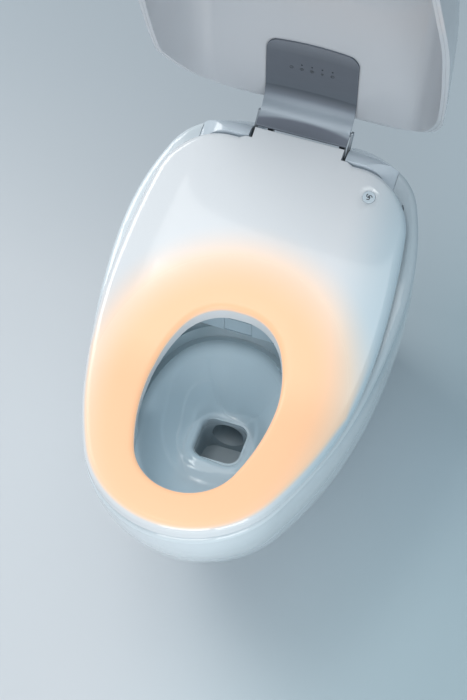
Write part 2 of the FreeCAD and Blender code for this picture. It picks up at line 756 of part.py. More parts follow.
def lid_dish(depth, long_rear):
    """Solid dish at a depth below the lid's outside: a straight wall, then an elliptic shoulder."""
    inward = size("lid_roll_in") - depth
    upward = size("lid_roll_up") - depth
    spring = size("lid_top") - size("lid_roll_up")
    wires = []
    for angle in (0.0, 20.0, 40.0, 60.0, 75.0, 90.0):
        turn = math.radians(angle)
        inset = depth + inward * (1.0 - math.cos(turn))
        wires.append(lid_outline(spring + upward * math.sin(turn), -inset, long_rear))
    wall = prism(lid_outline(300.0, -depth, long_rear), spring - 300.0)
    return Part.makeLoft(wires, True, False).fuse(wall)


def above_lid_edge():
    """All space above the lid's lower edge, which follows the seat and then climbs."""
    drop = size("lid_drop")
    lift_y = size("lid_lift_y")
    lift_z = deck_z(lift_y) - drop
    end_y, end_z = size("lid_rear"), size("lid_top") - size("lid_edge")
    slope = (end_z - lift_z) / (end_y - lift_y)
    points = [(-FAR, size("ring_top") - drop), (size("deck_knee"), size("ring_top") - drop), (lift_y, lift_z),
              (FAR, lift_z + slope * (FAR - lift_y)), (FAR, 2 * FAR), (-FAR, 2 * FAR)]
    return slab(points, [0, size("deck_bend"), 60.0, 0, 0, 0], -FAR, FAR)


def lid_layer(outer, inner):
    """One layer of the lid between two depths below its outside."""
    long_rear = size("lid_rear") + 118.0
    body = lid_dish(outer, long_rear).cut(lid_dish(inner, long_rear))
    body = body.common(prism(lid_outline(300.0, 0.0, size("lid_rear")), FAR))
    return body.common(above_lid_edge())


def in_lid(shape):
    """The same shape carried to the closed pose's frame, for cutting."""
    moved = shape.copy()
    moved.Placement = opened.inverse().multiply(moved.Placement)
    return moved


def make_liner():
    depth = size("lid_wall") + size("skin_gap")
    liner = lid_layer(depth, depth + size("liner_wall"))
    half = size("plate_half") + 1.5
    top = size("plate_top") + 1.5
    pocket = block(-half, half, 150.0, size("plate_face") + size("plate_thick") + 0.2, size("hinge_z") - 40.0, top)
    corner = [e for e in pocket.Edges if abs(e.tangentAt(e.FirstParameter).y) > 0.99 and e.CenterOfMass.z > top - 1]
    pocket = pocket.makeFillet(size("plate_corner") + 1.5, corner)
    return liner.cut(in_lid(pocket))


solid_part("lid_outer_shell", lid_layer(0.0, size("lid_wall")), opened)
solid_part("lid_inner_liner", make_liner(), opened)

# ---------------------------------------------------------------- works on the shelf

tray_z = "shelf_z + float"
tray = box("tray_plate", "-tray_half", "works_front", tray_z, "2 * tray_half", "hinge_y + 20 - works_front", "tray")
tray_nose = box("tray_nose", "-nose_half", "nose_y + nose_thick", tray_z, "2 * nose_half", "works_front - nose_y", "tray")
keep(fuse("tray_body", [tray, tray_nose]), "base_plate")
on_tray = tray_z + " + tray"

nose = box("nose_panel", "-nose_half", "nose_y", "shelf_z + 1.5", "2 * nose_half", "nose_thick", "nose_top - shelf_z - 1.5")
port = box("nose_port", "port_left", "nose_y - 1", "shelf_z + 2.5", "port_right - port_left", "nose_thick + 2", "28.5")
keep(cut("nose_cut", nose, port), "unit_nose")

wand_frame = Placement(Vector(size("wand_x"), size("wand_y"), size("wand_z")),
                       Rotation(Vector(1, 0, 0), -(90.0 - size("wand_tilt"))))


def on_wand(shape):
    """Place a shape made along +Z from the wand's front end."""
    shape.Placement = wand_frame
    return shape


tip_len = 18.0
wand_tip = cylinder(size("wand_r"), Vector(0, 0, 5.5), Vector(0, 0, 1), tip_len)
solid_part("wand_tip", on_wand(wand_tip))
tube = cylinder(size("wand_r"), Vector(0, 0, tip_len + 5.5), Vector(0, 0, 1), size("wand_len") - tip_len)
tube = tube.cut(cylinder(size("wand_r") - 2.0, Vector(0, 0, tip_len + 8.0), Vector(0, 0, 1), size("wand_len")))
solid_part("wand_tube", on_wand(tube))

gate_low = size("shelf_z") + 4.0
gate = block(size("port_left") + 0.5, size("port_right") - 0.5, size("nose_y"), size("nose_y") + 2.4, gate_low, gate_low + 26.0)
boss = on_wand(cylinder(size("wand_r") - 2.0, Vector(0, 0, 0), Vector(0, 0, 1), 5.3))
solid_part("wand_gate", gate.fuse(boss.common(block(-FAR, FAR, size("nose_y"), FAR, 0.0, FAR))).removeSplitter())

guide = block(-13.0, 13.0, -11.0, 11.0, 14.0, 150.0)
guide = guide.cut(cylinder(size("wand_r") + size("wand_play"), Vector(0, 0, 0), Vector(0, 0, 1), 170.0))
solid_part("wand_guide", on_wand(guide))
motor = block(13.1, 41.0, -9.0, 9.0, 100.0, 140.0)
solid_part("wand_motor", on_wand(motor))
stand = block(size("wand_x") - 12, size("wand_x") + 12, 40.0, 60.0, size("shelf_z") + size("float") + size("tray"), FAR)
guide_low = slab([(-100.0, size("wand_z") - 50.0), (200.0, size("wand_z") - 50.0),
                  (200.0, size("wand_z") + (200.0 - size("wand_y")) * math.tan(math.radians(size("wand_tilt"))) - 12.0),
                  (-100.0, size("wand_z") + (-100.0 - size("wand_y")) * math.tan(math.radians(size("wand_tilt"))) - 12.0)],
                 [0, 0, 0, 0], -100.0, 100.0)
solid_part("wand_stand", stand.common(guide_low))

heater_can = box("heater_can", "-140", "40", on_tray, "75", "75", "50")
keep(heater_can, "water_heater")
board_tray = box("board_tray_box", "45", "45", on_tray, "94", "75", "8")
board_room = box("board_room", "47", "47", on_tray + " + 2", "90", "71", "10")
keep(cut("board_tray_cut", board_tray, board_room), "board_tray")
board = box("board_sheet", "48", "48", on_tray + " + 2", "88", "69", "1.6")
chip_a = box("board_relay", "58", "58", on_tray + " + 3.6", "18", "14", "14")
chip_b = box("board_cap", "100", "80", on_tray + " + 3.6", "24", "20", "18")
keep(fuse("board_body", [board, chip_a, chip_b]), "control_board")
keep(box("lid_drive_box", "-44", "hinge_y - 50", on_tray, "38", "34", "64"), "lid_drive")
keep(box("seat_drive_box", "6", "hinge_y - 50", on_tray, "38", "34", "64"), "seat_drive")


def fan(side, label):
    """Round fan case with an open top, and its impeller on a short post."""
    x = "%s * fan_x" % side
    low = on_tray
    case = drum(label + "_outer", x, "fan_y", low, "fan_r", "fan_high")
    room = drum(label + "_room", x, "fan_y", low + " + 2", "fan_r - 2", "fan_high")
    post = drum(label + "_post", x, "fan_y", low + " + 1", "2.5", "8")
    shell = fuse(label + "_shell", [cut(label + "_hollow", case, room), post])
    keep(shell, label + "_case")
    wheel = []
    hub_disc = drum(label + "_hub", x, "fan_y", low + " + 4", "7", "16")
    plate_disc = drum(label + "_disc", x, "fan_y", low + " + 4", "fan_r - 5", "1.5")
    wheel += [hub_disc, plate_disc]
    for i in range(9):
        blade = box(label + "_blade_%d" % i, x, "fan_y", low + " + 4", "1", "5", "14")
        angle = i * 40.0
        blade.Placement.Rotation = Rotation(Vector(0, 0, 1), angle)
        bind(blade, "Placement.Base.x", "%s + (fan_r - 11) * cos(%g deg)" % (x, angle))
        bind(blade, "Placement.Base.y", "fan_y + (fan_r - 11) * sin(%g deg)" % angle)
        wheel.append(blade)
    spinner = cut(label + "_bored", fuse(label + "_wheel", wheel), drum(label + "_bore", x, "fan_y", low, "2.5 + running", "12"))
    keep(spinner, label + "_impeller")


fan("1", "odour_fan")
fan("-1", "dryer_fan")

# ---------------------------------------------------------------- services inside the skirt

rear_inner = size("back_y") - size("china")
thread = drum("inlet_thread", "inlet_x", "back_y - china - 6", "inlet_z", "inlet_r", "china + 26", "y")
shank = drum("inlet_shank", "inlet_x", "back_y - china - 6", "inlet_z", "inlet_r + 2", "china + 15", "y")
inlet = fuse("inlet_outer", [thread, shank])
inlet_bore = drum("inlet_bore", "inlet_x", "back_y - china - 10", "inlet_z", "6.5", "china + 40", "y")
keep(cut("inlet_turned", inlet, inlet_bore), "supply_inlet")
nut = drum("inlet_nut_body", "inlet_x", "back_y + 0.2", "inlet_z", "17", "8", "y")
nut_bore = drum("inlet_nut_bore", "inlet_x", "back_y - 1", "inlet_z", "inlet_r + 2.1", "20", "y")
keep(cut("inlet_nut_cut", nut, nut_bore), "inlet_nut")
keep(box("valve_box", "inlet_x - 25", "back_y - china - 6.2 - 44", "inlet_z - 28", "50", "44", "56"), "flush_valve")
hose = drum("hose_outer", "inlet_x", "back_y - china - 28", "inlet_z + 28.2", "9", "shelf_under - inlet_z - 28.4")
keep(cut("hose_cut", hose, drum("hose_bore", "inlet_x", "back_y - china - 28", "inlet_z", "6", "300")), "supply_hose")

gland = drum("gland_body", "gland_x", "back_y - china - 8", "gland_z", "gland_r", "china + 18", "y")
keep(cut("gland_cut", gland, drum("gland_bore", "gland_x", "back_y - 40", "gland_z", "3.6", "60", "y")), "power_gland")
keep(box("power_box", "gland_x - 45", "back_y - china - 8.2 - 50", "gland_z - 30", "75", "50", "60"), "power_supply")


def make_floor_bracket():
    """Plate on the floor with one bolt hole, trimmed to the inside of the skirt."""
    x, y = size("bracket_x"), size("bracket_y")
    plate = block(x - 22.0, FAR, y - 30.0, y + 30.0, 0.0, 5.0)
    lug = block(x + 18.0, FAR, y - 30.0, y + 30.0, 0.0, 45.0)
    inside = body_block(-size("china") - size("float"), 0.0, 0.0)
    body = plate.fuse(lug).common(inside)
    return body.cut(cylinder(size("floor_hole_r"), Vector(x, y, -1.0), Vector(0, 0, 1), 20.0)).removeSplitter()


floor_bracket = make_floor_bracket()
solid_part("floor_bracket_right", floor_bracket)
solid_part("floor_bracket_left", mirror_x(floor_bracket))

# ---------------------------------------------------------------- check and write

doc.recompute()
for item in doc.Objects:
    if "Invalid" in item.State or "Error" in item.State:
        raise RuntimeError("object failed: %s %s" % (item.Label, item.State))
os.makedirs("parts", exist_ok=True)
for item in PARTS:
    shape = item.Shape
    if shape.isNull() or not shape.isValid():
        raise RuntimeError("bad shape: " + item.Label)
    shape.exportStep("parts/%s.step" % item.Label)
    box_of = shape.BoundBox
    print("%-20s solids %d volume %9.0f  x %7.1f %7.1f  y %7.1f %7.1f  z %7.1f %7.1f" % (
        item.Label, len(shape.Solids), shape.Volume, box_of.XMin, box_of.XMax, box_of.YMin, box_of.YMax, box_of.ZMin, box_of.ZMax))
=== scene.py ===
import json
import math

import bpy
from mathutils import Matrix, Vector


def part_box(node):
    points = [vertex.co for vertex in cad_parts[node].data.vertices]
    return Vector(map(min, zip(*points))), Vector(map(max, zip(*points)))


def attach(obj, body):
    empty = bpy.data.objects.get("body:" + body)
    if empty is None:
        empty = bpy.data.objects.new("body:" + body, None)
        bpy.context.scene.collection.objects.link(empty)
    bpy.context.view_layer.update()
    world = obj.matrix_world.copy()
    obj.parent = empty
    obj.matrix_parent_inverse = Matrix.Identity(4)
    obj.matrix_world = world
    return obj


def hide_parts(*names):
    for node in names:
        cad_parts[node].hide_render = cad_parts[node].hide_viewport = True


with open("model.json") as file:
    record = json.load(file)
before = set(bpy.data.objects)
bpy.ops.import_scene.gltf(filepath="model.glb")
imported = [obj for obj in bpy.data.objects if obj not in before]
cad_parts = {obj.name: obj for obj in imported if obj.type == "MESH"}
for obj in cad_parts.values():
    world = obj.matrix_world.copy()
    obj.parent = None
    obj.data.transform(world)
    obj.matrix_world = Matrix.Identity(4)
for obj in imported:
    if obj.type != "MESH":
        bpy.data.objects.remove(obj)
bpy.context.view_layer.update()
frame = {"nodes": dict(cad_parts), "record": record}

# Smart toilet with a heated seat, lid open, on a pale floor in soft light from the upper left.
# Metres. +X is right in a front view, -Y is the front of the bowl, +Z is up.

nodes = frame["nodes"]
scene = bpy.context.scene
scene.view_settings.view_transform = "Standard"
bpy.ops.object.select_all(action="DESELECT")

RING_TOP = 0.430        # top of the flat part of the seat
DECK_KNEE = -0.171      # where the deck starts to climb
DECK_SLOPE = 105.0 / 361.0
PLATE_FACE = 0.236      # front face of the upright hinge plate
LAMP_Z = 0.632
LAMP_PITCH = 0.0149
BUTTON = (0.120, 0.132)
BUTTON_SINK = 0.0008    # from the deck's plane down to the underside of the button's mark
DECK_ANGLE = math.atan(DECK_SLOPE)
BOWL_MIDDLE = -0.20     # centre of the circle inside which the bowl has its bluer tone and painted ledge shade
SUMP = (0.0, -0.156)    # centre of the sump, a rounded square
SUMP_HALF = 0.034
SUMP_ROUND = 0.017


# ---------------------------------------------------------------- materials

class Nodes:
    """A principled material and short calls that add nodes to it."""

    def __init__(self, name, colour, roughness, metallic=0.0):
        self.mat = bpy.data.materials.new(name)
        self.mat.use_nodes = True
        self.tree = self.mat.node_tree
        self.shader = self.tree.nodes["Principled BSDF"]
        self.shader.inputs["Base Color"].default_value = (*colour, 1.0)
        self.shader.inputs["Roughness"].default_value = roughness
        self.shader.inputs["Metallic"].default_value = metallic
        self.coords = self.tree.nodes.new("ShaderNodeTexCoord").outputs["Object"]
        self.split = None

    def set(self, **values):
        for key, value in values.items():
            self.shader.inputs[key.replace("_", " ")].default_value = value
        return self

    def link(self, socket, target):
        self.tree.links.new(socket, target)

    def to_shader(self, socket, name):
        self.link(socket, self.shader.inputs[name])

    def axis(self, index):
        """X, Y or Z of a point of the object."""
        if self.split is None:
            self.split = self.tree.nodes.new("ShaderNodeSeparateXYZ")
            self.link(self.coords, self.split.inputs[0])
        return self.split.outputs[index]

    def math(self, operation, *values):
        node = self.tree.nodes.new("ShaderNodeMath")
        node.operation = operation
        for slot, value in enumerate(values):
            if isinstance(value, (int, float)):
                node.inputs[slot].default_value = value
            else:
                self.link(value, node.inputs[slot])
        return node.outputs[0]

    def span(self, value, low, high, out_low=0.0, out_high=1.0):
        """A smooth step between two values."""
        node = self.tree.nodes.new("ShaderNodeMapRange")
        node.interpolation_type = "SMOOTHSTEP"
        self.link(value, node.inputs["Value"])
        limits = {"From Min": low, "From Max": high, "To Min": out_low, "To Max": out_high}
        for name, number in limits.items():
            node.inputs[name].default_value = number
        return node.outputs["Result"]

    def noise(self, scale, detail=3.0, stretch=None):
        node = self.tree.nodes.new("ShaderNodeTexNoise")
        node.inputs["Scale"].default_value = scale
        node.inputs["Detail"].default_value = detail
        source = self.coords
        if stretch is not None:
            mapping = self.tree.nodes.new("ShaderNodeMapping")
            mapping.inputs["Scale"].default_value = stretch
            self.link(self.coords, mapping.inputs["Vector"])
            source = mapping.outputs[0]
        self.link(source, node.inputs["Vector"])
        return node.outputs["Fac"]

    def blend(self, share, low, high, kind="MIX"):
        """Mix of two colours, or their product where kind is MULTIPLY."""
        node = self.tree.nodes.new("ShaderNodeMix")
        node.data_type = "RGBA"
        node.blend_type = kind
        for socket, value in ((node.inputs[0], share), (node.inputs[6], low), (node.inputs[7], high)):
            if isinstance(value, (int, float)):
                socket.default_value = value
            elif isinstance(value, tuple):
                socket.default_value = (*value, 1.0)
            else:
                self.link(value, socket)
        return node.outputs[2]

    def ramp(self, value, *stops):
        """Colours at places along a value."""
        node = self.tree.nodes.new("ShaderNodeValToRGB")
        band = node.color_ramp
        while len(band.elements) < len(stops):
            band.elements.new(0.5)
        for element, (place, colour) in zip(band.elements, stops):
            element.position = place
            element.color = (*colour, 1.0)
        self.link(value, node.inputs["Fac"])
        return node.outputs["Color"]

    def bump(self, height, strength, distance):
        node = self.tree.nodes.new("ShaderNodeBump")
        node.inputs["Strength"].default_value = strength
        node.inputs["Distance"].default_value = distance
        self.link(height, node.inputs["Height"])
        self.to_shader(node.outputs["Normal"], "Normal")


def mottled(name, colour, roughness, spread=0.03, scale=9.0, metallic=0.0, bump=0.0, bump_scale=60.0):
    """A surface whose colour and gloss drift slightly, with an optional fine texture."""
    made = Nodes(name, colour, roughness, metallic)
    drift = made.noise(scale)
    low = tuple(c * (1.0 - spread) for c in colour)
    high = tuple(min(1.0, c * (1.0 + spread)) for c in colour)
    made.to_shader(made.ramp(drift, (0.3, low), (0.7, high)), "Base Color")
    gloss = made.span(made.noise(scale * 3.0), 0.3, 0.7, roughness * 0.96, roughness * 1.04)
    made.to_shader(gloss, "Roughness")
    if bump > 0.0:
        made.bump(made.noise(bump_scale, 2.0), bump, 0.0004)
    return made


def glaze():
    """Cool white vitreous glaze.

    It is bluer in the bowl, and has painted shade up to the bowl's ledge, down in the sump and high on the
    right side.
    """
    plain = (0.67, 0.735, 0.775)
    made = Nodes("glaze", plain, 0.12)
    x, y, z = made.axis(0), made.axis(1), made.axis(2)

    def distance(centre_y):
        off = made.math("ADD", y, -centre_y)
        return made.math("SQRT", made.math("ADD", made.math("POWER", x, 2.0), made.math("POWER", off, 2.0)))

    # the bowl's bluer tone, turning into painted shade up under the bowl's ledge
    bowl = made.ramp(made.span(z, 0.340, 0.372), (0.0, (0.64, 0.77, 0.84)), (1.0, (0.32, 0.41, 0.46)))
    inside = made.math("MULTIPLY", made.span(distance(BOWL_MIDDLE), 0.155, 0.140), made.span(z, 0.240, 0.262))
    tone = made.blend(inside, plain, bowl)
    # painted shade down in the sump, where the glaze is also rougher and has no coat
    in_sump = made.math("MULTIPLY", made.span(distance(SUMP[1]), 0.075, 0.060), made.span(z, 0.165, 0.175))
    sump_shade = made.math("MULTIPLY", in_sump, made.span(z, 0.252, 0.215))
    tone = made.blend(sump_shade, tone, (0.40, 0.47, 0.51))
    # painted shade high on the right side of the ceramic
    high = made.math("MULTIPLY", made.span(x, 0.10, 0.21), made.span(z, 0.36, 0.42))
    tone = made.blend(high, tone, (0.43, 0.52, 0.57))
    made.to_shader(tone, "Base Color")
    made.to_shader(made.span(sump_shade, 0.0, 1.0, 0.5, 0.0), "Coat Weight")
    made.to_shader(made.span(sump_shade, 0.0, 1.0, 0.12, 0.55), "Roughness")
    return made.set(Coat_Roughness=0.05).mat


def seat_white():
    """Glossy moulding with a painted glow round the opening that stands for the heated seat, in its colour
    and as emission, and painted shade towards its right side.
    """
    made = Nodes("seat_white", (0.80, 0.86, 0.92), 0.12)
    x, y, z = made.axis(0), made.axis(1), made.axis(2)
    across = made.math("DIVIDE", made.math("SUBTRACT", x, 0.004), 0.215)
    along = made.math("ADD", y, 0.19)
    along = made.math("MAXIMUM", made.math("DIVIDE", along, 0.235), made.math("DIVIDE", along, -0.34))
    squares = made.math("ADD", made.math("POWER", across, 2.0), made.math("POWER", along, 2.0))
    reach = made.math("SQRT", squares)
    # painted glow round the opening, in the base colour and as emission, standing for the heater
    glow = made.span(reach, 1.05, 0.60)
    climb = made.math("MULTIPLY", made.math("MAXIMUM", made.math("SUBTRACT", y, DECK_KNEE), 0.0), DECK_SLOPE)
    drop = made.math("SUBTRACT", made.math("ADD", climb, RING_TOP), z)    # depth below ring and deck
    top = made.span(drop, 0.0095, 0.0030)
    painted_glow = made.math("MULTIPLY", glow, top)
    tone = made.ramp(painted_glow, (0.0, (0.73, 0.755, 0.78)), (0.45, (0.70, 0.58, 0.48)), (1.0, (0.50, 0.29, 0.17)))
    # painted shade towards the right side of the seat
    shade = made.ramp(made.span(x, 0.095, 0.190), (0.0, (1.0, 1.0, 1.0)), (1.0, (0.66, 0.80, 0.86)))
    made.to_shader(made.blend(1.0, tone, shade, "MULTIPLY"), "Base Color")
    made.set(Emission_Color=(1.0, 0.60, 0.355, 1.0), Coat_Roughness=0.04)
    made.to_shader(made.math("MULTIPLY", painted_glow, 0.58), "Emission Strength")
    made.to_shader(made.span(painted_glow, 0.1, 0.8, 0.4, 0.05), "Coat Weight")
    made.to_shader(made.span(painted_glow, 0.1, 0.8, 0.12, 0.40), "Roughness")
    made.bump(made.noise(22.0, 2.0), 0.03, 0.0004)
    return made.mat


def brushed():
    """Satin steel whose colour is painted reflection and shade in level stripes that bow down to the sides; a
    soft painted line marks the end of its bend.
    """
    made = Nodes("brushed_plate", (0.40, 0.44, 0.49), 0.42, 0.55)
    grain = made.noise(240.0, 4.0, (0.02, 1.0, 1.0))
    made.to_shader(made.span(grain, 0.3, 0.7, 0.40, 0.46), "Roughness")
    foot, per_metre, sag = 0.536, 7.0, 0.67
    bow = made.math("MULTIPLY", made.math("POWER", made.axis(0), 2.0), sag)
    level = made.math("SUBTRACT", made.math("ADD", made.axis(2), bow), foot)
    tone = made.math("MULTIPLY", level, per_metre)
    painted_reflections = made.ramp(
        tone,
        (0.0, (0.12, 0.14, 0.17)), (0.05, (0.17, 0.19, 0.23)),      # painted shade on the foot, on the slope
        (0.062, (0.36, 0.41, 0.46)), (0.11, (0.35, 0.40, 0.45)),    # painted highlight where the bend starts
        (0.22, (0.18, 0.21, 0.25)), (0.315, (0.11, 0.13, 0.155)),   # painted shade up the bend
        (0.33, (0.145, 0.17, 0.20)), (0.50, (0.13, 0.15, 0.18)),    # the soft painted line, then the upright part
        (0.80, (0.12, 0.14, 0.17)), (0.95, (0.18, 0.205, 0.24)))    # painted reflection, lighter at the top
    made.to_shader(painted_reflections, "Base Color")
    return made.mat


def hinge_steel():
    """Grey steel with painted shade down in the slots beside the plate."""
    made = Nodes("steel", (0.3, 0.32, 0.34), 0.36, 0.6)
    # painted shade low down in the slots beside the plate
    height = made.span(made.axis(2), 0.522, 0.534)
    tone = made.ramp(height, (0.0, (0.06, 0.065, 0.07)), (1.0, (0.34, 0.38, 0.42)))
    made.to_shader(tone, "Base Color")
    return made.mat


SLOTS = {
    "china": glaze(),
    "seat_white": seat_white(),
    "seat_under": mottled("seat_under", (0.70, 0.74, 0.78), 0.35, bump=0.1).mat,
    "lid_shell": mottled("lid_shell", (0.49, 0.515, 0.55), 0.24, spread=0.015).set(Coat_Weight=0.3).mat,
    "lid_liner": mottled("lid_liner", (0.47, 0.495, 0.53), 0.32,
                         spread=0.02, scale=3.0).set(Coat_Weight=0.3).mat,
    "cover_white": mottled("cover_white", (0.60, 0.67, 0.73), 0.14, spread=0.015).set(Coat_Weight=0.4).mat,
    "brushed": brushed(),
    "steel": hinge_steel(),
    "brass": mottled("brass", (0.62, 0.46, 0.20), 0.28, metallic=1.0, bump=0.1, bump_scale=200.0).mat,
    "heater_foil": mottled("heater_foil", (0.80, 0.52, 0.24), 0.4).mat,
    "rubber": mottled("rubber", (0.04, 0.04, 0.045), 0.7, bump=0.3, bump_scale=300.0).mat,
    "works_white": mottled("works_white", (0.42, 0.53, 0.60), 0.30, bump=0.15, bump_scale=200.0).mat,
    "works_grey": mottled("works_grey", (0.20, 0.22, 0.25), 0.45, bump=0.2, bump_scale=200.0).mat,
    "board_green": mottled("board_green", (0.05, 0.22, 0.12), 0.4, spread=0.15, scale=90.0).mat,
    "button_grey": mottled("button_grey", (0.60, 0.69, 0.75), 0.2).mat,
    "lamp": mottled("lamp", (0.02, 0.025, 0.03), 0.2).mat,
}
ink = mottled("symbol_ink", (0.045, 0.055, 0.065), 0.35).mat

for part in frame["record"]["subparts"]:
    for slot in nodes[part["node"]].material_slots:
        slot.material = SLOTS[part["material_slot"]]

# ---------------------------------------------------------------- new pieces


def settle(piece, name, body, material):
    """Freeze a new piece's place into its mesh, then name it and let it ride."""
    bpy.ops.object.select_all(action="DESELECT")
    piece.select_set(True)
    bpy.context.view_layer.objects.active = piece
    bpy.ops.object.transform_apply(location=True, rotation=True, scale=True)
    piece.name = name
    piece.data.name = name
    piece.data.materials.clear()
    piece.data.materials.append(material)
    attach(piece, body)


def flat_ring(outer, inner, thick, sides=40):
    """A flat ring about Z, its face up, on the plane z = 0."""
    bpy.ops.object.select_all(action="DESELECT")
    bpy.ops.mesh.primitive_circle_add(vertices=sides, radius=outer, fill_type="NOTHING")
    bpy.ops.object.mode_set(mode="EDIT")
    bpy.ops.mesh.select_all(action="SELECT")
    bpy.ops.mesh.extrude_edges_move()
    bpy.ops.transform.resize(value=(inner / outer, inner / outer, 1.0))
    bpy.ops.mesh.select_all(action="SELECT")
    bpy.ops.mesh.extrude_region_move(TRANSFORM_OT_translate={"value": (0.0, 0.0, thick)})
    bpy.ops.mesh.select_all(action="SELECT")
    bpy.ops.mesh.normals_make_consistent(inside=False)
    bpy.ops.object.mode_set(mode="OBJECT")
    return bpy.context.object


def flat_disc(radius, thick, sides=24):
    """A flat disc about Z with a bevelled rim."""
    bpy.ops.object.select_all(action="DESELECT")
    bpy.ops.mesh.primitive_circle_add(vertices=sides, radius=radius, fill_type="NGON")
    bpy.ops.object.mode_set(mode="EDIT")
    bpy.ops.mesh.select_all(action="SELECT")
    bpy.ops.mesh.extrude_region_move(TRANSFORM_OT_translate={"value": (0.0, 0.0, thick)})
    bpy.ops.transform.resize(value=(0.9, 0.9, 1.0))
    bpy.ops.mesh.select_all(action="SELECT")
    bpy.ops.mesh.normals_make_consistent(inside=False)
    bpy.ops.object.mode_set(mode="OBJECT")
    return bpy.context.object


def trim(piece, keep):
    """Delete the faces whose centres fail a test in the piece's own plane."""
    bpy.ops.object.mode_set(mode="EDIT")
    bpy.ops.mesh.select_mode(type="FACE")
    bpy.ops.mesh.select_all(action="DESELECT")
    bpy.ops.object.mode_set(mode="OBJECT")
    for face in piece.data.polygons:
        face.select = not keep(face.center)
    bpy.ops.object.mode_set(mode="EDIT")
    bpy.ops.mesh.delete(type="FACE")
    bpy.ops.mesh.select_all(action="SELECT")
    bpy.ops.mesh.fill_holes(sides=4)
    bpy.ops.mesh.select_all(action="SELECT")
    bpy.ops.mesh.normals_make_consistent(inside=False)
    bpy.ops.mesh.select_mode(type="VERT")
    bpy.ops.object.mode_set(mode="OBJECT")
    return piece


def joined(pieces):
    bpy.ops.object.select_all(action="DESELECT")
    for piece in pieces:
        piece.select_set(True)
    bpy.context.view_layer.objects.active = pieces[0]
    if len(pieces) > 1:
        bpy.ops.object.join()
    return pieces[0]


def shifted(piece, x, y):
    piece.location = (x, y, 0.0)
    return piece


# ---------------------------------------------------------------- seat top

SEAT_OUTLINE = {"front": -0.408, "nose": 0.150, "half": 0.197, "wide": -0.060,
                "corner_x": 0.096, "corner_y": 0.084, "corner": 0.090}
OPENING_OUTLINE = {"front": -0.352, "nose": 0.075, "half": 0.091, "wide": -0.190,
                   "corner_x": 0.006, "corner_y": -0.145, "corner": 0.074}
ARC_POINTS = 60


def egg(front, nose, half, wide, corner_x, corner_y, corner):
    """Right half of a plan outline of tangent arcs, front to rear, as points with outward directions."""
    reach = wide - front - nose
    flank = (half ** 2 + reach ** 2 - nose ** 2) / (2.0 * (half - nose))
    inset, run = half - corner_x, corner_y - wide
    rear_flank = (inset ** 2 + run ** 2 - corner ** 2) / (2.0 * (inset - corner))
    nose_turn = math.atan2(-reach, flank - half)
    corner_turn = math.atan2(run, rear_flank - inset)
    arcs = [(0.0, front + nose, nose, -math.pi / 2, nose_turn), (half - flank, wide, flank, nose_turn, 0.0),
            (half - rear_flank, wide, rear_flank, 0.0, corner_turn),
            (corner_x, corner_y, corner, corner_turn, math.pi / 2)]
    points = []
    for cx, cy, radius, start, end in arcs:
        for step in range(ARC_POINTS):
            angle = start + (end - start) * step / (ARC_POINTS - 1)
            ux, uy = math.cos(angle), math.sin(angle)
            points.append((cx + radius * ux, cy + radius * uy, ux, uy))
    return points


def on_ray(points, centre_y, turn):
    """Where a ray from (0, centre_y) meets an outline; turn runs from the front to the rear."""
    before = points[0]
    for after in points[1:]:
        angle = math.atan2(after[0], centre_y - after[1])
        if angle >= turn:
            start = math.atan2(before[0], centre_y - before[1])
            share = (turn - start) / max(angle - start, 1e-9)
            return [a + (b - a) * share for a, b in zip(before, after)]
        before = after
    x = (points[-1][1] - centre_y) * math.tan(math.pi - turn)
    return [x, points[-1][1], 0.0, 1.0]


def deck_height(y):
    """Top of the seat at a distance from front to rear, with the bend between ring and deck."""
    bend = 0.250
    tangent = bend * math.tan(DECK_ANGLE / 2.0)
    first = DECK_KNEE - tangent
    last = DECK_KNEE + tangent * math.cos(DECK_ANGLE)
    if y <= first:
        return RING_TOP
    if y >= last:
        return RING_TOP + DECK_SLOPE * (y - DECK_KNEE)
    return RING_TOP + bend - math.sqrt(bend ** 2 - (y - first) ** 2)


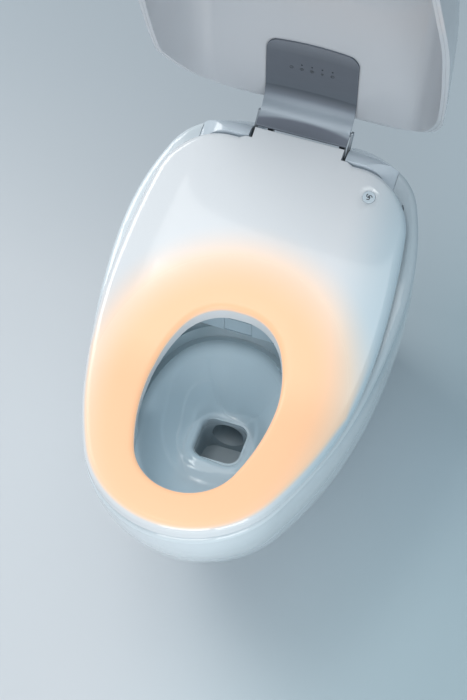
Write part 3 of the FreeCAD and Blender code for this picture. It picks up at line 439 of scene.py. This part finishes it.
def make_seat_top():
    """The seat's upper moulding: a torus pulled to the seat's plan, falling away towards its outer edge."""
    centre_y = -0.150
    outer = egg(**SEAT_OUTLINE)
    inner = egg(**OPENING_OUTLINE)
    tongue_half, tongue_y, rear_y = 0.066, 0.190, 0.174
    lip, roll, depth, crown, crown_width = 0.008, 0.011, 0.0245, 0.0045, 0.060
    tongue_depth, rear_roll, rear_half, crown_fade, crowding = 0.008, 0.0015, 0.080, 0.03, 1.4
    flank_rays, tongue_rays = 110, 10
    jog_out = math.pi - math.atan2(tongue_half, rear_y - centre_y)
    jog_in = math.pi - math.atan2(tongue_half, tongue_y - centre_y)
    turns = [jog_out * step / flank_rays for step in range(flank_rays + 1)]
    turns += [jog_in + (math.pi - jog_in) * step / tongue_rays for step in range(tongue_rays + 1)]
    rays = turns + [-turn for turn in reversed(turns[1:-1])]
    lip_steps, roll_steps, across = 7, 9, 18
    section = 2 + lip_steps + across + roll_steps
    bpy.ops.object.select_all(action="DESELECT")
    bpy.ops.mesh.primitive_torus_add(major_segments=len(rays), minor_segments=section,
                                     major_radius=0.2, minor_radius=0.02)
    piece = bpy.context.object
    for place, turn in enumerate(rays):
        side = -1.0 if turn < 0.0 else 1.0
        turn = abs(turn)
        a = on_ray(inner, centre_y, turn)
        tongue = turn >= jog_in - 1e-9
        if tongue:
            b = [min((tongue_y - centre_y) * math.tan(math.pi - turn), tongue_half), tongue_y, 0.0, 1.0]
        else:
            b = on_ray(outer, centre_y, turn)
        edge_roll = rear_roll if b[1] > rear_y - 0.0005 and abs(b[0]) < rear_half else roll
        edge_crown = 0.0 if edge_roll < roll else crown
        fade = min(1.0, max(0.0, (rear_y - b[1]) / crown_fade))
        edge_crown *= fade
        line = [(a[0], a[1], depth, None)]
        for step in range(lip_steps):
            angle = math.pi / 2 * step / (lip_steps - 1)
            d = lip * (1.0 - math.cos(angle))
            line.append((a[0] + a[2] * d, a[1] + a[3] * d, lip * (1.0 - math.sin(angle)), None))
        start = (a[0] + a[2] * lip, a[1] + a[3] * lip)
        end = (b[0] - b[2] * edge_roll, b[1] - b[3] * edge_roll)
        for step in range(1, across + 1):
            share = step / (across + 1.0)
            share = 1.0 - (1.0 - share) ** crowding    # closer together towards the outer edge
            x = start[0] + (end[0] - start[0]) * share
            y = start[1] + (end[1] - start[1]) * share
            line.append((x, y, 0.0, True))
        for step in range(roll_steps):
            angle = math.pi / 2 * step / (roll_steps - 1)
            d = edge_roll * (1.0 - math.sin(angle))
            line.append((b[0] - b[2] * d, b[1] - b[3] * d, edge_roll * (1.0 - math.cos(angle)), True))
        line.append((b[0], b[1], tongue_depth if tongue else depth, None))
        for count, (x, y, drop, crowned) in enumerate(line):
            if crowned:
                away = abs((b[0] - x) * b[2] + (b[1] - y) * b[3])
                drop += edge_crown * max(0.0, 1.0 - away / crown_width) ** 2
            piece.data.vertices[place * section + count].co = (side * x, y, deck_height(y) - drop)
    bpy.ops.object.mode_set(mode="EDIT")
    bpy.ops.mesh.select_all(action="SELECT")
    bpy.ops.mesh.remove_doubles(threshold=0.00001)
    bpy.ops.mesh.normals_make_consistent(inside=False)
    bpy.ops.object.mode_set(mode="OBJECT")
    # the dish and well of the push button, as upper radius, lower radius, bottom and top
    height = RING_TOP + DECK_SLOPE * (BUTTON[1] - DECK_KNEE)
    for wide, narrow, low, high in ((0.0165, 0.0093, -0.0022, 0.0008), (0.0093, 0.0093, -0.0120, 0.0)):
        middle = 0.5 * (low + high)
        bpy.ops.mesh.primitive_cone_add(vertices=64, radius1=narrow, radius2=wide, depth=high - low,
                                        rotation=(DECK_ANGLE, 0.0, 0.0),
                                        location=(BUTTON[0], BUTTON[1] - middle * math.sin(DECK_ANGLE),
                                                  height + middle * math.cos(DECK_ANGLE)))
        tool = bpy.context.object
        carve = piece.modifiers.new("well", "BOOLEAN")
        carve.operation = "DIFFERENCE"
        carve.solver = "EXACT"
        carve.object = tool
        bpy.ops.object.select_all(action="DESELECT")
        piece.select_set(True)
        bpy.context.view_layer.objects.active = piece
        bpy.ops.object.modifier_apply(modifier="well")
        bpy.data.objects.remove(tool)
    bpy.ops.object.shade_smooth_by_angle(angle=math.radians(40.0))
    settle(piece, "seat_top", "seat", SLOTS["seat_white"])
    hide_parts("seat_upper_shell")


make_seat_top()


# ---------------------------------------------------------------- bowl relief

BOWL_FLOOR = 0.250      # taken where a ray finds no wall
UNDER_LEDGE = 0.366     # rays to the CAD wall start here, 2 mm below the bowl's ledge
RELIEF_OUTLINE = {"front": -0.357, "nose": 0.080, "half": 0.096, "wide": -0.190,
                  "corner_x": 0.006, "corner_y": -0.145, "corner": 0.079}    # 5 mm outside the opening
COLLAR_HEIGHT = 0.0030
COLLAR_AWAY = 0.010     # from the sump's edge to the crest of the collar
COLLAR_WIDTH = 0.0045
STEP_HEIGHT = 0.0030    # each of the two swirl steps
STEP_EDGE = 0.002       # half the width over which a step falls
DISH_CENTRE = (0.020, -0.058)    # a shallow hollow behind the sump
DISH_RADIUS = 0.062
DISH_STRETCH = 1.15     # wider than long
DISH_EDGE = 0.004
DISH_DEPTH = 0.0026


def ease(value, low, high):
    share = min(1.0, max(0.0, (value - low) / (high - low)))
    return share * share * (3.0 - 2.0 * share)


def from_sump(x, y):
    """Distance outside the sump's rounded square."""
    dx = abs(x - SUMP[0]) - (SUMP_HALF - SUMP_ROUND)
    dy = abs(y - SUMP[1]) - (SUMP_HALF - SUMP_ROUND)
    return math.hypot(max(dx, 0.0), max(dy, 0.0)) + min(max(dx, dy), 0.0) - SUMP_ROUND


def relief(x, y):
    """Height of the cast relief over the bowl's plain wall."""
    away = from_sump(x, y)
    turn = math.degrees(math.atan2(x - SUMP[0], -(y - SUMP[1])))
    collar = COLLAR_HEIGHT * math.exp(-((away - COLLAR_AWAY) / COLLAR_WIDTH) ** 2)
    left = ease(-turn, -30.0, 40.0)
    left *= 1.0 - ease(-turn, 130.0, 178.0)
    first = 0.021 + 0.010 * ease(-turn, 0.0, 180.0)
    spiral = STEP_HEIGHT * left * (1.0 - ease(away, first - STEP_EDGE, first + STEP_EDGE))
    second = 0.040 + 0.008 * ease(-turn, 0.0, 120.0)
    spiral += STEP_HEIGHT * left * (1.0 - ease(away, second - STEP_EDGE, second + STEP_EDGE))
    off_dish = math.hypot((x - DISH_CENTRE[0]) / DISH_STRETCH, y - DISH_CENTRE[1])
    dish = -DISH_DEPTH * ease(DISH_RADIUS - off_dish, 0.0, DISH_EDGE)
    return collar + spiral + dish


def make_bowl_relief():
    """Glazed inside of the bowl, from under the ledge to the sump: swirl steps and a raised collar."""
    plain = nodes["ceramic_bowl"]
    inverse = plain.matrix_world.inverted()
    outer = egg(**RELIEF_OUTLINE)
    rays, across, depth = 180, 60, 0.004
    section = 2 * across
    tuck, stride, clear = 0.0008, 0.0002, 0.0014    # inner edge inside the sump, search step, ray outside it
    skin, dip = 0.0006, 0.006                       # lift over the CAD wall, turn-down at the sump
    bpy.ops.object.select_all(action="DESELECT")
    bpy.ops.mesh.primitive_torus_add(major_segments=rays, minor_segments=section,
                                     major_radius=0.1, minor_radius=0.02)
    piece = bpy.context.object
    centre = SUMP[1]
    for place in range(rays):
        turn = 2.0 * math.pi * place / rays
        side = 1.0
        if turn > math.pi:
            turn, side = 2.0 * math.pi - turn, -1.0
        far = on_ray(outer, centre, turn)
        reach = math.hypot(far[0], far[1] - centre)
        ux, uy = side * math.sin(turn), -math.cos(turn)
        near = 0.0
        while from_sump(ux * near, centre + uy * near) < -tuck:
            near += stride
        for count in range(across):
            share = count / (across - 1.0)
            radius = near + (reach - near) * share
            x, y = ux * radius, centre + uy * radius
            away = max(from_sump(x, y), 0.0)
            probe = max(radius, near + clear)
            above = Vector((ux * probe, centre + uy * probe, UNDER_LEDGE))
            hit = plain.ray_cast(inverse @ above, Vector((0.0, 0.0, -1.0)))
            ground = (plain.matrix_world @ hit[1]).z if hit[0] else BOWL_FLOOR
            lift = skin + relief(x, y) * ease(share, 0.0, 0.02) * (1.0 - ease(share, 0.90, 0.99))
            top = ground + lift - dip * (1.0 - ease(away, -0.002, 0.0045))
            piece.data.vertices[place * section + count].co = (x, y, top)
            piece.data.vertices[place * section + section - 1 - count].co = (x, y, top - depth)
    bpy.ops.object.mode_set(mode="EDIT")
    bpy.ops.mesh.select_all(action="SELECT")
    bpy.ops.mesh.normals_make_consistent(inside=False)
    bpy.ops.mesh.vertices_smooth(factor=0.5, repeat=1)
    bpy.ops.object.mode_set(mode="OBJECT")
    bpy.ops.object.shade_smooth_by_angle(angle=math.radians(50.0))
    settle(piece, "bowl_relief", "base", SLOTS["china"])


make_bowl_relief()


# ---------------------------------------------------------------- hinge plate

PLATE_SLOPE_ROWS = 8
PLATE_BEND_ROWS = 25


def plate_profile(count):
    """Points (y, z) up the front face of the plate: a slope, a bend, then upright."""
    start, knee, bend, top = (0.1925, 0.5362), (0.236, 0.5535), 0.0416, 0.6735
    slope = math.atan2(knee[1] - start[1], knee[0] - start[0])
    tangent = bend * math.tan((math.pi / 2 - slope) / 2.0)
    first = (knee[0] - tangent * math.cos(slope), knee[1] - tangent * math.sin(slope))
    centre = (first[0] - bend * math.sin(slope), first[1] + bend * math.cos(slope))
    line = []
    for step in range(PLATE_SLOPE_ROWS):
        share = step / PLATE_SLOPE_ROWS
        line.append((start[0] + (first[0] - start[0]) * share, start[1] + (first[1] - start[1]) * share))
    for step in range(PLATE_BEND_ROWS):
        angle = slope + (math.pi / 2 - slope) * step / (PLATE_BEND_ROWS - 1)
        line.append((centre[0] + bend * math.sin(angle), centre[1] - bend * math.cos(angle)))
    last = line[-1]
    rest = count - len(line)
    for step in range(1, rest + 1):
        line.append((last[0], last[1] + (top - last[1]) * step / rest))
    return line


def make_plate():
    """Curved metal plate with a crowned top and round upper corners."""
    half, corner, crown, thick, columns, rows = 0.067, 0.017, 0.006, 0.003, 81, 73
    bpy.ops.object.select_all(action="DESELECT")
    bpy.ops.mesh.primitive_grid_add(x_subdivisions=columns - 1, y_subdivisions=rows - 1, size=0.1)
    piece = bpy.context.object
    profile = plate_profile(rows)
    top = profile[-1][1]
    upright = PLATE_SLOPE_ROWS + PLATE_BEND_ROWS - 1    # the row where the bend ends
    foot = profile[upright][1]
    for row in range(rows):
        y, z = profile[row]
        for column in range(columns):
            share = 2.0 * column / (columns - 1.0) - 1.0
            x = half * math.sin(share * math.pi / 2.0)
            drop = crown * (x / half) ** 2
            if abs(x) > half - corner:
                drop += corner - math.sqrt(max(corner ** 2 - (abs(x) - half + corner) ** 2, 0.0))
            if row > upright:
                rise = z - drop * max(0.0, (z - foot) / (top - foot))
            else:
                rise = z
            piece.data.vertices[row * columns + column].co = (x, y, rise)
    thicken = piece.modifiers.new("thick", "SOLIDIFY")
    thicken.thickness = thick
    thicken.offset = -1.0
    round_off = piece.modifiers.new("edge", "BEVEL")
    round_off.width = 0.0006
    round_off.segments = 2
    round_off.limit_method = "ANGLE"
    round_off.angle_limit = math.radians(50.0)
    bpy.ops.object.modifier_apply(modifier="thick")
    bpy.ops.object.modifier_apply(modifier="edge")
    bpy.ops.object.mode_set(mode="EDIT")
    bpy.ops.mesh.select_all(action="SELECT")
    bpy.ops.mesh.normals_make_consistent(inside=False)
    bpy.ops.object.mode_set(mode="OBJECT")
    bpy.ops.object.shade_smooth_by_angle(angle=math.radians(40.0))
    settle(piece, "plate_skin", "lid", SLOTS["brushed"])
    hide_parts("hinge_plate")


make_plate()

# Plain function symbols on the hinge plate, one under each lamp and one more.
MM = 0.001
MARK_THICK = 0.25 * MM
symbols = [
    [flat_ring(3.0 * MM, 2.1 * MM, MARK_THICK)],
    [flat_ring(3.0 * MM, 1.9 * MM, MARK_THICK), shifted(flat_disc(0.7 * MM, MARK_THICK), 0.0, 0.9 * MM)],
    [flat_ring(3.1 * MM, 1.9 * MM, MARK_THICK), flat_disc(1.2 * MM, MARK_THICK)],
    [flat_disc(2.1 * MM, MARK_THICK), shifted(flat_disc(1.0 * MM, MARK_THICK), 0.0, -2.4 * MM)],
    [flat_ring(3.0 * MM, 1.9 * MM, MARK_THICK), shifted(flat_disc(0.8 * MM, MARK_THICK), -1.0 * MM, 0.0)],
]
for place, marks in enumerate(symbols):
    mark = joined(marks)
    mark.rotation_euler = (math.radians(90.0), 0.0, 0.0)
    mark.scale = (1.0, 0.8, 1.0)
    mark.location = ((place - 2) * LAMP_PITCH, PLATE_FACE - 0.00005, LAMP_Z - 0.0085)
    settle(mark, "plate_symbol_%d" % (place + 1), "lid", ink)

# A plain whirl on the push button.
BLADE_SPAN = 200.0      # degrees of ring in each blade
BLADE_OFFSET = 1.9 * MM


def in_blade(place):
    return math.degrees(math.atan2(place.y, place.x)) % 360.0 < BLADE_SPAN


whirl = []
for turn in range(3):
    blade = trim(flat_ring(3.2 * MM, 2.0 * MM, MARK_THICK), in_blade)
    heading = math.radians(120.0 * turn)
    blade.rotation_euler = (0.0, 0.0, heading)
    blade.location = (BLADE_OFFSET * math.cos(heading), BLADE_OFFSET * math.sin(heading), 0.0)
    whirl.append(blade)
low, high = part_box("flush_button")
mark = joined(whirl)
bpy.ops.object.transform_apply(location=True, rotation=True, scale=True)
mark.rotation_euler = (DECK_ANGLE, 0.0, 0.0)
height = RING_TOP + DECK_SLOPE * (BUTTON[1] - DECK_KNEE)
mark.location = (BUTTON[0], BUTTON[1] + BUTTON_SINK * math.sin(DECK_ANGLE),
                 height - BUTTON_SINK * math.cos(DECK_ANGLE))
settle(mark, "button_mark", "button", ink)

# ---------------------------------------------------------------- floor, light, camera

bpy.ops.mesh.primitive_plane_add(size=14.0, location=(0.0, 0.0, -0.0005))
floor = bpy.context.object
floor.name = "floor"
# its painted shade drifts from left to right and from front to rear: darker to the right and towards the
# rear, with a darker painted shadow band on the right that lightens again at the far end
ground = Nodes("floor_painted_shade", (0.6, 0.68, 0.74), 0.7)
side = ground.span(ground.axis(0), -0.15, 0.42)
far = ground.span(ground.axis(1), -0.5, 0.9)
left = ground.ramp(far, (0.15, (0.60, 0.63, 0.66)), (0.5, (0.57, 0.60, 0.63)), (1.0, (0.42, 0.47, 0.51)))
right = ground.ramp(far, (0.1, (0.46, 0.58, 0.63)), (0.35, (0.44, 0.56, 0.62)), (0.66, (0.32, 0.43, 0.48)),
                    (0.85, (0.42, 0.52, 0.57)), (1.0, (0.46, 0.55, 0.60)))
ground.to_shader(ground.blend(side, left, right), "Base Color")
floor.data.materials.append(ground.mat)


def lamp(name, place, target, width, depth, power, colour):
    data = bpy.data.lights.new(name, "AREA")
    data.shape = "RECTANGLE"
    data.size = width
    data.size_y = depth
    data.energy = power
    data.color = colour
    light = bpy.data.objects.new(name, data)
    scene.collection.objects.link(light)
    light.location = place
    light.rotation_mode = "QUATERNION"
    light.rotation_quaternion = (Vector(target) - Vector(place)).to_track_quat("-Z", "Y")


SOFT_WHITE = (1.0, 0.99, 0.97)
lamp("top_box", (-0.56, -0.45, 3.0), (-0.56, -0.45, 0.0), 0.44, 1.10, 7.0, SOFT_WHITE)
lamp("high_box", (-0.2, -0.5, 3.6), (-0.1, -0.2, 0.0), 2.2, 2.2, 22.0, SOFT_WHITE)
lamp("left_box", (-2.4, 0.7, 2.5), (0.0, -0.1, 0.3), 1.8, 1.8, 50.0, SOFT_WHITE)
lamp("low_box", (1.9, -2.0, 0.5), (0.1, -0.2, 0.3), 1.2, 0.8, 15.0, (0.97, 0.99, 1.0))
lamp("front_box", (0.5, -3.0, 1.3), (0.0, -0.2, 0.2), 2.0, 1.2, 32.0, SOFT_WHITE)

world = bpy.data.worlds.new("studio")
scene.world = world
world.use_nodes = True
world.node_tree.nodes["Background"].inputs["Color"].default_value = (0.62, 0.72, 0.80, 1.0)
world.node_tree.nodes["Background"].inputs["Strength"].default_value = 0.55

AZIMUTH = math.radians(18.96)
ELEVATION = math.radians(55.12)
TARGET = Vector((0.0003, -0.1166, 0.430))
DISTANCE = 2.6
back = Vector((math.sin(AZIMUTH) * math.cos(ELEVATION), -math.cos(AZIMUTH) * math.cos(ELEVATION),
               math.sin(ELEVATION)))
view = bpy.data.cameras.new("camera")
view.lens = 97.35
view.shift_x = 0.0053
view.shift_y = -0.0024
camera = bpy.data.objects.new("camera", view)
scene.collection.objects.link(camera)
camera.location = TARGET + back * DISTANCE
camera.rotation_mode = "QUATERNION"
camera.rotation_quaternion = (-back).to_track_quat("-Z", "Y")
scene.camera = camera
